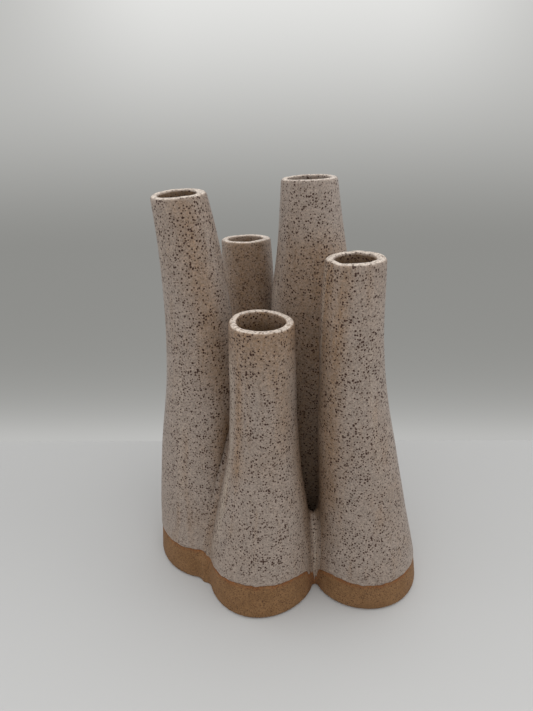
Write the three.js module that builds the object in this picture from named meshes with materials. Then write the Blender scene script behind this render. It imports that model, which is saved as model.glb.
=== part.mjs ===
// Tulip vase: five narrow-necked stoneware bottles of different heights, pressed together in a ring
// and luted belly to belly.
// Millimetres, +Z up, with the origin on the table under the middle of the vase.

import * as THREE from 'three';

const { lerp, smoothstep } = THREE.MathUtils;

// Clay thicknesses and rounded edges
const LIP_WALL = 3.7;
const FOOT_WALL = 5.5;
const FLOOR_THICKNESS = 6;
const LIP_EDGE_RADIUS = 1.4;
const FOOT_EDGE_RADIUS = 2.5;
const FLOOR_CORNER_RADIUS = 4;

// Pressed faces and luted joints: the slip is narrower by this much where a joint ends above
const CLEARANCE = 0.3;
const WEB_THICKNESS = 1.2;
const JOINT_TOP_TAPER = 1;
const JOINT_BOTTOM = 3;
const CREASE_REACH = 25;
const BELLY_HEIGHT = 22;
const PRESS_SHARPNESS = 20;

// Shares of a bottle's height: below the first its section is oval, above the second its lip tilts
const OVAL_TOP = 0.5;
const TILT_START = 0.6;

// Facets
const SIDES = 28;
const EDGE_STEPS = 2;
const OUTER_STEPS = 13;
const INNER_STEPS = 10;
const JOINT_LEVELS = 8;
const JOINT_STEPS = 12;
const SEARCH_STEPS = 30;

// Each bottle: the middles of its foot and its mouth, the bow of its axis halfway up, the sway of its
// axis to +X a quarter of the way up and back again above, the drop of its lip per millimetre along X and
// Y, its oval along X and along the diagonal as shares of its radius, and its outline as pairs of height
// and radius.
const BOTTLES = {
  front_bottle: {
    foot: [-14.5, -45],
    mouth: [-11.5, -45.5],
    bow: [0.5, 1],
    sway: 0,
    lipDrop: [0.01, -0.005],
    oval: [-0.01, 0.015],
    outline: [[0, 35], [25, 33], [60, 27.5], [105, 21], [140, 19], [182, 17]],
  },
  right_bottle: {
    foot: [52, -40.5],
    mouth: [36.5, -39],
    bow: [-2, -1.5],
    sway: 2,
    lipDrop: [-0.03, 0.025],
    oval: [-0.01, 0],
    outline: [[0, 35], [25, 32.5], [60, 26.5], [115, 21], [150, 18], [185, 16.5], [213, 15]],
  },
  left_bottle: {
    foot: [-50, -11.5],
    mouth: [-55, -8.5],
    bow: [4, 0.5],
    sway: -1.5,
    lipDrop: [-0.05, -0.005],
    oval: [-0.015, -0.01],
    outline: [[0, 37], [30, 34], [100, 27], [140, 22], [185, 18.5], [240, 15]],
  },
  rear_tall_bottle: {
    foot: [29, 19],
    mouth: [17, 19.5],
    bow: [0, -1],
    sway: 0,
    lipDrop: [-0.035, 0.03],
    oval: [0, 0],
    outline: [[0, 36.5], [60, 33.5], [110, 30.5], [170, 25.5], [210, 20], [244, 16.5]],
  },
  rear_short_bottle: {
    foot: [-25.5, 45],
    mouth: [-21.5, 49.5],
    bow: [2.5, -1.5],
    sway: -0.5,
    lipDrop: [-0.015, 0.065],
    oval: [0, 0],
    outline: [[0, 35.5], [25, 31.5], [80, 25], [130, 20], [202, 16]],
  },
};

// Neighbours that are luted together, and how far apart their walls stand where the slip ends in the crease
const JOINTS = {
  front_right_joint: { between: ['front_bottle', 'right_bottle'], creaseWidth: 6.5 },
  front_left_joint: { between: ['front_bottle', 'left_bottle'], creaseWidth: 4.5 },
  right_rear_joint: { between: ['right_bottle', 'rear_tall_bottle'], creaseWidth: 5 },
  left_rear_joint: { between: ['left_bottle', 'rear_short_bottle'], creaseWidth: 5 },
  rear_rear_joint: { between: ['rear_tall_bottle', 'rear_short_bottle'], creaseWidth: 4.5 },
};

const glazeMaterial = new THREE.MeshStandardMaterial({ color: 0xb9aea2, roughness: 0.45, metalness: 0 });
const slipMaterial = new THREE.MeshStandardMaterial({ color: 0xb08a62, roughness: 0.8, metalness: 0 });

// The slope of a smooth outline at one of its points, which never overshoots its neighbours
function outlineSlope(outline, index) {
  const slopeAfter = (i) => (outline[i + 1][1] - outline[i][1]) / (outline[i + 1][0] - outline[i][0]);
  if (index === 0) {
    return slopeAfter(0);
  }
  if (index === outline.length - 1) {
    return slopeAfter(index - 1);
  }
  const below = slopeAfter(index - 1);
  const above = slopeAfter(index);
  return below * above > 0 ? (2 * below * above) / (below + above) : 0;
}

// The round radius of a bottle at one height, on a cubic curve through its outline's points
function outlineRadius(outline, height) {
  let index = 0;
  while (index < outline.length - 2 && height > outline[index + 1][0]) {
    index += 1;
  }
  const [lowHeight, lowRadius] = outline[index];
  const [highHeight, highRadius] = outline[index + 1];
  const span = highHeight - lowHeight;
  const t = THREE.MathUtils.clamp((height - lowHeight) / span, 0, 1);
  const lowShare = (1 + 2 * t) * (1 - t) ** 2;
  const lowBend = t * (1 - t) ** 2 * span * outlineSlope(outline, index);
  const highBend = t * t * (1 - t) * span * outlineSlope(outline, index + 1);
  return lowShare * lowRadius + (1 - lowShare) * highRadius + lowBend - highBend;
}

function bottleHeight(bottle) {
  return bottle.outline[bottle.outline.length - 1][0];
}

// The middle of a bottle's section at one height
function axisPoint(bottle, height) {
  const share = height / bottleHeight(bottle);
  const bowShare = 4 * share * (1 - share);
  const swing = bottle.sway * Math.sin(2 * Math.PI * share);
  return new THREE.Vector2(
    lerp(bottle.foot[0], bottle.mouth[0], share) + bottle.bow[0] * bowShare + swing,
    lerp(bottle.foot[1], bottle.mouth[1], share) + bottle.bow[1] * bowShare,
  );
}

// The upright plane where two round bellies cross, as the first bottle sees it
function contactFace(first, second) {
  const from = new THREE.Vector2(...first.foot);
  const normal = new THREE.Vector2(...second.foot).sub(from);
  const distance = normal.length();
  normal.divideScalar(distance);
  const firstBelly = outlineRadius(first.outline, BELLY_HEIGHT);
  const secondBelly = outlineRadius(second.outline, BELLY_HEIGHT);
  const reach = (distance ** 2 + firstBelly ** 2 - secondBelly ** 2) / (2 * distance);
  const point = from.addScaledVector(normal, reach);
  return { point, normal, along: new THREE.Vector2(-normal.y, normal.x) };
}

// The faces where a bottle is pressed flat against its neighbours
function pressedFaces(name) {
  const pairs = Object.values(JOINTS).map(({ between }) => between);
  const ownPairs = pairs.filter((pair) => pair.includes(name));
  const neighbours = ownPairs.map(([first, second]) => (first === name ? second : first));
  return neighbours.map((neighbour) => contactFace(BOTTLES[name], BOTTLES[neighbour]));
}

for (const [name, bottle] of Object.entries(BOTTLES)) {
  bottle.faces = pressedFaces(name);
}

// The outer radius of a bottle in one direction: round or slightly oval, and flat where it is pressed
function sectionRadius(bottle, height, angle) {
  const centre = axisPoint(bottle, height);
  const ovalShare = Math.max(0, 1 - height / (OVAL_TOP * bottleHeight(bottle))) ** 2;
  const oval = bottle.oval[0] * Math.cos(2 * angle) + bottle.oval[1] * Math.sin(2 * angle);
  let sum = (outlineRadius(bottle.outline, height) * (1 + ovalShare * oval)) ** -PRESS_SHARPNESS;
  for (const { point, normal } of bottle.faces) {
    const facing = Math.cos(angle) * normal.x + Math.sin(angle) * normal.y;
    const depth = point.clone().sub(centre).dot(normal) - WEB_THICKNESS / 2 - CLEARANCE;
    sum += (Math.max(0, facing) / depth) ** PRESS_SHARPNESS;
  }
  return sum ** (-1 / PRESS_SHARPNESS);
}

// A closed solid through rings of points, each counter-clockwise from above, with a flat cap at each end
function loftedGeometry(rings) {
  const count = rings[0].length;
  const indices = [];
  for (let level = 0; level < rings.length - 1; level += 1) {
    for (let i = 0; i < count; i += 1) {
      const low = level * count + i;
      const lowNext = level * count + ((i + 1) % count);
      indices.push(low, lowNext, lowNext + count, low, lowNext + count, low + count);
    }
  }
  const lastStart = (rings.length - 1) * count;
  for (const [a, b, c] of THREE.ShapeUtils.triangulateShape(rings[0], [])) {
    indices.push(c, b, a);
  }
  for (const [a, b, c] of THREE.ShapeUtils.triangulateShape(rings[rings.length - 1], [])) {
    indices.push(lastStart + a, lastStart + b, lastStart + c);
  }
  const geometry = new THREE.BufferGeometry().setFromPoints(rings.flat());
  geometry.setIndex(indices);
  geometry.computeVertexNormals();
  return geometry;
}

// Heights and insets along a quarter round of one radius, from its upright end to its level end
function quarterRound(radius) {
  const pairs = [];
  for (let i = 0; i <= EDGE_STEPS; i += 1) {
    const turn = (Math.PI / 2) * (i / EDGE_STEPS);
    pairs.push([radius * Math.sin(turn), radius * (1 - Math.cos(turn))]);
  }
  return pairs;
}

// Heights and insets of a bottle's rings: up the outside, over the lip and down the inside to the floor
function bottleRings(bottle) {
  const top = bottleHeight(bottle);
  const wallAt = (height) => lerp(FOOT_WALL, LIP_WALL, height / top);
  const lipStart = top - LIP_EDGE_RADIUS;
  const floorCorner = FLOOR_THICKNESS + FLOOR_CORNER_RADIUS;
  const rings = [];
  for (const [rise, inset] of quarterRound(FOOT_EDGE_RADIUS).reverse()) {
    rings.push([FOOT_EDGE_RADIUS - rise, inset]);
  }
  for (let i = 1; i < OUTER_STEPS; i += 1) {
    rings.push([lerp(FOOT_EDGE_RADIUS, lipStart, i / OUTER_STEPS), 0]);
  }
  for (const [rise, inset] of quarterRound(LIP_EDGE_RADIUS)) {
    rings.push([lipStart + rise, inset]);
  }
  for (const [rise, inset] of quarterRound(LIP_EDGE_RADIUS).reverse()) {
    rings.push([lipStart + rise, LIP_WALL - inset]);
  }
  for (let i = 1; i < INNER_STEPS; i += 1) {
    const height = lerp(lipStart, floorCorner, i / INNER_STEPS);
    rings.push([height, wallAt(height)]);
  }
  for (const [fall, inset] of quarterRound(FLOOR_CORNER_RADIUS)) {
    rings.push([floorCorner - fall, wallAt(floorCorner) + inset]);
  }
  return rings;
}

// A bottle with its floor and its open mouth, placed from the middle of its foot
function bottleMesh(name, bottle) {
  const top = bottleHeight(bottle);
  const rings = bottleRings(bottle).map(([height, inset]) => {
    const centre = axisPoint(bottle, height);
    const tiltShare = smoothstep(height, TILT_START * top, top);
    return Array.from({ length: SIDES }, (_, side) => {
      const angle = (2 * Math.PI * side) / SIDES;
      const radius = sectionRadius(bottle, height, angle) - inset;
      const x = radius * Math.cos(angle);
      const y = radius * Math.sin(angle);
      const drop = tiltShare * (bottle.lipDrop[0] * x + bottle.lipDrop[1] * y);
      return new THREE.Vector3(centre.x - bottle.foot[0] + x, centre.y - bottle.foot[1] + y, height - drop);
    });
  });
  const mesh = new THREE.Mesh(loftedGeometry(rings), glazeMaterial);
  mesh.name = name;
  mesh.position.set(bottle.foot[0], bottle.foot[1], 0);
  return mesh;
}

// The place where a rising function crosses a value, found by halving
function crossing(rising, value, low, high) {
  for (let i = 0; i < SEARCH_STEPS; i += 1) {
    const middle = (low + high) / 2;
    if (rising(middle) < value) {
      low = middle;
    } else {
      high = middle;
    }
  }
  return (low + high) / 2;
}

// How far a bottle's wall stands back from its pressed face, at one height and one place along the face
function standBack(bottle, face, height, place) {
  const toCentre = axisPoint(bottle, height).sub(face.point);
  const faceAngle = face.normal.angle();
  const radiusAt = (turn) => sectionRadius(bottle, height, faceAngle + turn);
  const placeAt = (turn) => toCentre.dot(face.along) + radiusAt(turn) * Math.sin(turn);
  const turn = crossing(placeAt, place, -Math.PI / 2, Math.PI / 2);
  return -toCentre.dot(face.normal) - radiusAt(turn) * Math.cos(turn);
}

// The luting clay between two bottles: a thin web between the pressed faces, with a thicker bead in the
// crease at each end. It is placed on the contact face, with X towards the second bottle.
function jointMesh(name, first, second, creaseWidth) {
  const face = contactFace(first, second);
  const facing = contactFace(second, first);
  const firstSide = (height, place) => standBack(first, face, height, place);
  const secondSide = (height, place) => standBack(second, facing, height, -place);
  const gap = (height, place) => firstSide(height, place) + secondSide(height, place);
  const middleAt = (height) => {
    const firstPlace = axisPoint(first, height).sub(face.point).dot(face.along);
    const secondPlace = axisPoint(second, height).sub(face.point).dot(face.along);
    return (firstPlace + secondPlace) / 2;
  };
  const lowerBottle = Math.min(bottleHeight(first), bottleHeight(second));
  const topWidth = creaseWidth - JOINT_TOP_TAPER;
  const top = crossing((height) => gap(height, middleAt(height)), topWidth, BELLY_HEIGHT, lowerBottle);
  const rings = [];
  for (let level = 0; level <= JOINT_LEVELS; level += 1) {
    const height = lerp(JOINT_BOTTOM, top, level / JOINT_LEVELS);
    const middle = middleAt(height);
    const start = middle - crossing((reach) => gap(height, middle - reach), creaseWidth, 0, CREASE_REACH);
    const end = middle + crossing((reach) => gap(height, middle + reach), creaseWidth, 0, CREASE_REACH);
    const firstPoints = [];
    const secondPoints = [];
    for (let step = 0; step <= JOINT_STEPS; step += 1) {
      const share = (1 - Math.cos((Math.PI * step) / JOINT_STEPS)) / 2;
      const place = lerp(start, end, share);
      firstPoints.push(new THREE.Vector3(CLEARANCE - firstSide(height, place), place, height));
      secondPoints.push(new THREE.Vector3(secondSide(height, place) - CLEARANCE, place, height));
    }
    rings.push([...secondPoints, ...firstPoints.reverse()]);
  }
  const mesh = new THREE.Mesh(loftedGeometry(rings), slipMaterial);
  mesh.name = name;
  mesh.position.set(face.point.x, face.point.y, 0);
  mesh.rotation.z = face.normal.angle();
  return mesh;
}

const vase = new THREE.Group();
for (const [name, bottle] of Object.entries(BOTTLES)) {
  vase.add(bottleMesh(name, bottle));
}
for (const [name, { between, creaseWidth }] of Object.entries(JOINTS)) {
  const [first, second] = between.map((bottleName) => BOTTLES[bottleName]);
  vase.add(jointMesh(name, first, second, creaseWidth));
}

export default vase;
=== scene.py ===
"""Looks of the tulip vase: five speckled stoneware bottles on bare clay feet, luted in a ring.

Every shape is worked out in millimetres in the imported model's frame and scaled when its mesh is made.
"""

import bpy
import numpy as np
from mathutils import Matrix, Vector


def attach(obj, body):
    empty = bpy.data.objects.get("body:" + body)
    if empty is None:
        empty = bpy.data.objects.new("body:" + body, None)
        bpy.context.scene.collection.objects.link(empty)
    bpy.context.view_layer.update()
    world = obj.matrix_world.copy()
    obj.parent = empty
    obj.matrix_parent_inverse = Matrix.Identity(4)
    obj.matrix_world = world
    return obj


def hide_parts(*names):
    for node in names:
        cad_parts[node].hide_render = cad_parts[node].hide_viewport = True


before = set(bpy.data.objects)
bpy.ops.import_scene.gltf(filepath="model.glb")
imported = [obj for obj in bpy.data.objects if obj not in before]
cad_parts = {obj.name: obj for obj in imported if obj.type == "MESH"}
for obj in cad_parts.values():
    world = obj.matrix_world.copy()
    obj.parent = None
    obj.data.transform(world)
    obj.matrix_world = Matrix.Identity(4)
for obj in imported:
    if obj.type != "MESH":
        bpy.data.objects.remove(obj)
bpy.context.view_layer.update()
scene = bpy.context.scene

MM = 0.001

# Clay thicknesses and rounded edges
FOOT_WALL = 5.5
FLOOR_THICKNESS = 6
FLOOR_CORNER_RADIUS = 4
FOOT_EDGE_RADIUS = 2.5
OUTER_LIP_RADIUS = 1.7
INNER_LIP_RADIUS = 1.5

# How far a pressed wall stays off the plane between two bottles, and how sharply it turns flat there
PRESSED_GAP = 0.9
PRESS_SHARPNESS = 60

# The height where bellies are measured, the shares of a bottle's height where its oval ends and the tilt of
# its lip starts, and how far below the lip the waves and the nicks of its rim fade out
BELLY_HEIGHT = 22
OVAL_TOP = 0.5
TILT_START = 0.6
RIM_DEPTH = 22
NICK_DEPTH = 4

# The glaze coat: how thick it is, how it rolls off at its lower edge, and how it lines the inside
GLAZE_THICKNESS = 0.32
GLAZE_ROLL = 0.8
GLAZE_SWELL = 0.4
SWELL_HEIGHT = 1.6
SWELL_WIDTH = 1.3
LINER_THICKNESS = 0.8
LEDGE_DROP = 2.0
LINE_BLEND = 7.0
LINE_RIPPLES = ((0.22, 5), (0.12, 13), (0.12, 23), (0.1, 37))

# How evenly the sag of the glaze line and the toasted clay fade away from a crease
SAG_POWER = 1.5
TOAST_FADE = 1.4

# Thin glaze: the share of a bottle's height above which it gets browner, how far from its lowest and highest
# heights a streak fades, and how many degrees round a neighbour hides, how strong the painted shade with
# thinner glaze is there and up to which heights
BROWN_START = 0.76
STREAK_START = np.array([-12, 18])
STREAK_END = np.array([-10, 12])
HIDDEN_WIDTH = 32
HIDDEN_SHADE_AND_THIN = 0.7
HIDDEN_FADE = (90, 150)

# How far below the lip the painted shade of its inside starts, the rows over which the lip's pale crest with
# its painted top light fades, and the greatest height above the glaze line that is counted
MOUTH_EDGE = 0.8
LIT_CREST_ROWS = 4
HIGHEST_RISE = 60

# How far below its saddle a crease's painted shade starts and is full, how strong that painted shade is
# beside its bead, and how much of the foot's rounded edge is filled in the middle of the crease
SADDLE_SHADE_START = 26
SADDLE_SHADE_END = 6
CREASE_SHADE = 0.4
CREASE_FILL = 0.65

# The bead in a crease: its place across, its shift at its upper end, how far from its reach it shifts, ends
# and stops being pale, and its size on the inner side
BEAD_PLACE = 0.46
BEAD_SHIFT = 0.1
BEAD_TURN = np.array([-14, 12])
BEAD_END = np.array([-4, 16])
POOL_END = np.array([-14, 8])
INNER_BEAD = 0.6

# Mesh densities, how often the glaze line is looked up anew where the wall stands at its height, and the
# height where rows that follow it give way to level ones
SIDES = 192
FOOT_ROWS = 12
LINE_ROWS = 16
WALL_ROWS = 92
INSIDE_ROWS = 40
EDGE_ROWS = 6
LINE_ROUNDS = 3
HAND_HEIGHT = 36
CREASE_COLUMNS = 33
CREASE_STEP = 0.7

# Finding a crease: the ball that shapes it is taller than it is wide, so heights are squeezed while it rolls.
# Its path starts below the table, and ends there after the saddle
STRETCHED = np.array([1, 1, 2.6])
BELOW_TABLE = 1
HIGHEST_SADDLE = 170
SADDLE_SAMPLES = 3401
LOOP_SAMPLES = 801
ROLL_STEPS = 6
PROBE = 0.05

# A crease's mesh: the top of its low part, at most and as a share of its saddle's height, its depth at the
# edges and how much deeper the middle is, and two columns as how far beyond an edge and how deep in the wall
LOW_PART = 34.0
LOW_SHARE = 0.62
EDGE_DEPTH = 0.35
MIDDLE_DEPTH = 2.2
SUNK_COLUMNS = ((0.5, 0.06), (1.1, 0.3))

# Colours in sRGB from 0 to 255, as they look in plain light
GLAZE = (142, 129, 118)
# Thin glaze; the same colour also paints shade where a neighbour hides a wall and inside the mouths
THIN_AND_SHADED_GLAZE = (130, 103, 76)
# Pooled glaze, and also the colour of the painted highlights along the bottles' left edges
POOLED_GLAZE_AND_HIGHLIGHT = (164, 151, 136)
# The lip's pale crest: glaze breaking pale over the edge, with painted top light
LIT_LIP_CREST = (206, 193, 179)
SPECK_HALO = (98, 69, 48)
SMALL_SPECK = (62, 33, 14)
BIG_SPECK = (46, 18, 3)
CLAY = (115, 84, 53)
LIGHT_CLAY = (125, 93, 61)
TOASTED_CLAY = (121, 70, 33)
PALE_GRAIN = (160, 127, 90)
DARK_GRAIN = (70, 41, 21)

# Each bottle, in the words of the imported model: the middles of its foot and mouth, the bow and sway of its
# axis, the tilt of its lip, the lip's thickness with how uneven it is, the direction where it is thickest and
# the depth below it where painted shade fully darkens the inside, the bottle's oval and its outline as pairs
# of height and radius. Then the height of its glaze line with a lean along X and Y, the runs of glaze below
# that line as angle, width and length, the waves of its wall as size, turns, climb and phase and those of its
# rim as size, turns and phase, the nicks in its rim as angle, width and depth, how soon its specks get strong
# above the glaze line, how brown its glaze gets towards the lip, and the thin and the thick places of its
# glaze as angle, width, lowest and highest height, strength and slant. The thick places between -150 and -167
# degrees are painted highlights along the left edges, and the rear short bottle's first thin place also
# paints the shade and warm bounce on its front.
BOTTLES = {
    "front_bottle": {
        "foot": (-14.5, -45), "mouth": (-12.0, -45.5), "bow": (0.9, 1), "sway": -0.4,
        "lip_drop": (0.01, -0.005), "lip": (4.2, 0.05, -60, 14), "oval": (-0.01, 0.015),
        "outline": ((0, 35), (25, 33), (60, 27.2), (105, 20.3), (140, 18.0), (182, 16.9)),
        "line": (23.4, 1.0, -2.0),
        "runs": ((-28, 2.4, 3.2), (-96, 3, 0.5), (-140, 3, 0.6)),
        "waves": ((0.25, 2, 0.05, 0.4), (0.16, 3, -0.07, 2.1), (0.09, 5, 0.16, 4.0)),
        "rim": ((0.12, 2, 1.2), (0.08, 3, 4.1), (0.05, 7, 0.6)),
        "nicks": ((-128, 7, 0.15), (40, 9, 0.15)),
        "speckled": 1.0, "brown": 0.7,
        "thin": ((-136, 10, 88, 182, 0.65, 0), (-54, 19, 112, 186, 0.45, 0), (-30, 10, 60, 120, 0.25, 0)),
        "thick_and_highlit": ((-158, 7, 40, 160, 0.9, 0), (-150, 2, 90, 140, 0.4, 0), (-163, 4, 26, 58, 0.6, 0)),
    },
    "right_bottle": {
        "foot": (52, -40.5), "mouth": (36.5, -39), "bow": (-2, -1.5), "sway": 2,
        "lip_drop": (-0.03, 0.025), "lip": (4.7, 0.14, 10, 1.6), "oval": (-0.01, 0),
        "outline": ((0, 35), (25, 32.5), (60, 26.5), (115, 21), (150, 18), (185, 16.5), (213, 15)),
        "line": (20.2, -0.2, -0.4),
        "runs": ((-100, 3, 0.5), (-70, 4, 0.4)),
        "waves": ((0.25, 2, -0.06, 1.7), (0.2, 3, 0.08, 3.0), (0.1, 5, 0.14, 0.3)),
        "rim": ((0.16, 2, 2.6), (0.12, 3, 0.7), (0.08, 6, 2.9)),
        "nicks": ((-132, 14, 0.35), (95, 9, 0.3), (60, 7, 0.2), (-60, 8, 0.15)),
        "speckled": 1.0, "brown": 0.15,
        "thin": ((-131, 18, 62, 216, 0.62, 0.22), (-160, 38, 100, 216, 0.6, 0), (-160, 14, 50, 120, 0.4, 0)),
        "thick_and_highlit": ((-167, 6, 150, 212, 0.6, 0), (-64, 4, 90, 170, 0.3, 0)),
    },
    "left_bottle": {
        "foot": (-50, -11.5), "mouth": (-55, -8.5), "bow": (4, 0.5), "sway": -1.5,
        "lip_drop": (-0.05, -0.03), "lip": (4.4, 0.12, -20, 1.2), "oval": (-0.015, -0.01),
        "outline": ((0, 37), (30, 34), (100, 27), (140, 22), (185, 18.3), (241, 14.5)),
        "line": (23.0, 0.4, -0.4),
        "runs": ((-118, 4, 0.5),),
        "waves": ((0.22, 2, 0.04, 5.1), (0.18, 3, 0.06, 0.9), (0.09, 5, -0.12, 2.2)),
        "rim": ((0.1, 2, 0.3), (0.07, 3, 2.2), (0.04, 8, 1.4)),
        "nicks": ((-150, 8, 0.12), (20, 10, 0.12)),
        "speckled": 0.25, "brown": 0.15,
        "thin": ((-66, 28, 118, 245, 0.55, -0.25),),
        "thick_and_highlit": ((-120, 4, 60, 150, 0.3, 0), (-150, 8, 190, 240, 0.4, 0)),
    },
    "rear_tall_bottle": {
        "foot": (29, 19), "mouth": (17, 19.5), "bow": (0, -1), "sway": 0,
        "lip_drop": (-0.035, 0.03), "lip": (4.0, 0.05, 0, 60), "oval": (0, 0),
        "outline": ((0, 36.5), (60, 33.5), (110, 30.5), (170, 25.5), (210, 20), (244.4, 16)),
        "line": (21.5, -0.4, 0.6),
        "runs": ((80, 4, 0.8), (30, 3, 0.6)),
        "waves": ((0.22, 2, -0.05, 2.8), (0.15, 3, 0.07, 5.5), (0.08, 5, 0.13, 1.1)),
        "rim": ((0.1, 2, 1.9), (0.06, 3, 3.3), (0.04, 7, 5.0)),
        "nicks": ((-100, 10, 0.12), (140, 8, 0.15)),
        "speckled": 1.0, "brown": 0,
        "thin": ((-90, 70, 20, 212, 0.65, 0), (70, 12, 100, 240, 0.5, 0)),
        "thick_and_highlit": ((-158, 3, 165, 195, 0.6, 0), (20, 4, 80, 180, 0.5, 0), (110, 4, 60, 150, 0.5, 0)),
    },
    "rear_short_bottle": {
        "foot": (-25.5, 45), "mouth": (-21.9, 49.5), "bow": (2.5, -1.5), "sway": -0.5,
        "lip_drop": (-0.015, 0.065), "lip": (4.5, 0.08, 0, 8), "oval": (0, 0),
        "outline": ((0, 35.5), (25, 31.5), (80, 25), (130, 20), (202.4, 15.6)),
        "line": (21.8, 0.6, 0.4),
        "runs": ((100, 4, 0.8), (150, 3, 0.7)),
        "waves": ((0.22, 2, 0.05, 3.9), (0.15, 3, -0.06, 1.3), (0.09, 5, 0.15, 2.7)),
        "rim": ((0.12, 2, 4.4), (0.07, 3, 1.0), (0.04, 6, 3.1)),
        "nicks": ((-80, 9, 0.12), (170, 9, 0.15)),
        "speckled": 0.12, "brown": 0.4,
        # Its first thin place also paints the shade and warm bounce on this bottle's front
        "thin": ((-90, 75, 90, 215, 0.75, 0), (60, 14, 60, 190, 0.5, 0)),
        "thick_and_highlit": ((130, 4, 60, 160, 0.5, 0),),
    },
}

# Each luted crease: its two bottles, the radius of its hollow as pairs of height and radius, the extra clay
# smeared over it as place across, width, size and highest height, how far the glaze line sags in it with its
# reach round the first and the second bottle, the glaze bead that gathered in it (how proud it is, how
# wide across and how far up it runs), the drips below its line, as place across, width and length, how much
# the clay is toasted in it, and how strong the painted shade on its glaze is towards its saddle
JOINTS = {
    "front_right_joint": {
        "between": ("front_bottle", "right_bottle"),
        "hollow": ((0, 1.2), (12, 3.0), (30, 4.1), (50, 4.4), (72, 4.1)),
        "smear": (0.5, 0.2, 0, 60), "sag": (13, 11, 6.5), "bead": (0.8, 0.09, 50),
        "drips": ((0.55, 0.24, 5.2), (0.44, 0.07, 1.6), (0.68, 0.06, 1.2), (0.08, 0.08, 1.5)),
        "toast": 1.0, "dark": 1.0,
    },
    "front_left_joint": {
        "between": ("front_bottle", "left_bottle"),
        "hollow": ((0, 14), (22, 12), (60, 4.5), (90, 2.4)),
        "smear": (0.6, 0.24, 1.6, 60), "sag": (3.5, 14, 3), "bead": (0.5, 0.07, 30),
        "drips": (),
        "toast": 0.15, "dark": 0,
    },
    "right_rear_joint": {
        "between": ("right_bottle", "rear_tall_bottle"),
        "hollow": ((0, 2), (25, 3.8), (55, 3.2)),
        "smear": (0.4, 0.2, 0.4, 40), "sag": (7, 8, 8), "bead": (0.3, 0.16, 50),
        "drips": ((0.5, 0.22, 3), (0.62, 0.07, 1)),
        "toast": 0.7, "dark": 0,
    },
    "left_rear_joint": {
        "between": ("left_bottle", "rear_short_bottle"),
        "hollow": ((0, 2), (25, 3.8), (55, 3.2)),
        "smear": (0.4, 0.2, 0.4, 40), "sag": (6, 8, 8), "bead": (0.3, 0.16, 50),
        "drips": ((0.45, 0.2, 2.5), (0.3, 0.07, 1)),
        "toast": 0.7, "dark": 0,
    },
    "rear_rear_joint": {
        "between": ("rear_tall_bottle", "rear_short_bottle"),
        "hollow": ((0, 2.5), (30, 4), (95, 1.3)),
        "smear": (0.6, 0.2, 0.4, 50), "sag": (4, 8, 8), "bead": (0, 0.16, 46),
        "drips": ((0.5, 0.25, 1.5),),
        "toast": 0.5, "dark": 0,
    },
}


def smooth(value, low, high):
    """0 below low, 1 above high, and an even rise between them."""
    share = np.clip((value - low) / (high - low), 0, 1)
    return share * share * (3 - 2 * share)


def angle_gap(angle, degrees):
    """The turn from a direction in degrees, from -180 to 180."""
    return (np.degrees(angle) - degrees + 180) % 360 - 180


def hump(gap, width, power=2):
    """1 at no gap, falling towards 0 beyond a width."""
    return np.exp(-((gap / width) ** power))


def unit(vectors):
    """Directions as vectors of length one."""
    return vectors / np.linalg.norm(vectors, axis=-1, keepdims=True)


def outline_radius(bottle, height):
    """The round radius of a bottle, on a cubic curve through its outline's points."""
    heights, radii = np.array(bottle["outline"], float).T
    between = np.diff(radii) / np.diff(heights)
    product = between[:-1] * between[1:]
    total = between[:-1] + between[1:]
    middle = np.where(product > 0, 2 * product / np.where(total == 0, 1, total), 0)
    slopes = np.concatenate([between[:1], middle, between[-1:]])
    index = np.clip(np.searchsorted(heights, height) - 1, 0, len(heights) - 2)
    span = np.diff(heights)[index]
    share = np.clip((height - heights[index]) / span, 0, 1)
    low_share = (1 + 2 * share) * (1 - share) ** 2
    low_bend = share * (1 - share) ** 2 * span * slopes[index]
    high_bend = share**2 * (1 - share) * span * slopes[index + 1]
    return low_share * radii[index] + (1 - low_share) * radii[index + 1] + low_bend - high_bend


def top_of(bottle):
    return bottle["outline"][-1][0]


def axis_point(bottle, height):
    """The middle of a bottle's section, as x and y."""
    share = height / top_of(bottle)
    bow = 4 * share * (1 - share)
    swing = bottle["sway"] * np.sin(2 * np.pi * share)
    (foot_x, foot_y), (mouth_x, mouth_y) = bottle["foot"], bottle["mouth"]
    x = foot_x + (mouth_x - foot_x) * share + bottle["bow"][0] * bow + swing
    y = foot_y + (mouth_y - foot_y) * share + bottle["bow"][1] * bow
    return x, y


def wall_radius(bottle, angle, height):
    """The outer radius of a bottle's unpressed wall, with its oval and the waves of hand-building."""
    oval_share = np.maximum(0, 1 - height / (OVAL_TOP * top_of(bottle))) ** 2
    oval = bottle["oval"][0] * np.cos(2 * angle) + bottle["oval"][1] * np.sin(2 * angle)
    radius = outline_radius(bottle, height) * (1 + oval_share * oval)
    for size, turns, climb, phase in bottle["waves"]:
        radius = radius + size * np.sin(turns * angle + climb * height + phase)
    return radius


def contact_face(first, second):
    """A point on the upright plane between two bellies, and its normal towards the second one."""
    away = np.subtract(second["foot"], first["foot"]).astype(float)
    distance = np.hypot(*away)
    normal = away / distance
    bellies = [outline_radius(bottle, BELLY_HEIGHT) for bottle in (first, second)]
    reach = (distance**2 + bellies[0] ** 2 - bellies[1] ** 2) / (2 * distance)
    return np.array(first["foot"], float) + normal * reach, normal


def contact_faces(name):
    """A bottle's contact faces, each with its normal towards the neighbour."""
    pairs = [joint["between"] for joint in JOINTS.values() if name in joint["between"]]
    neighbours = [second if first == name else first for first, second in pairs]
    return [contact_face(BOTTLES[name], BOTTLES[neighbour]) for neighbour in neighbours]


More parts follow.
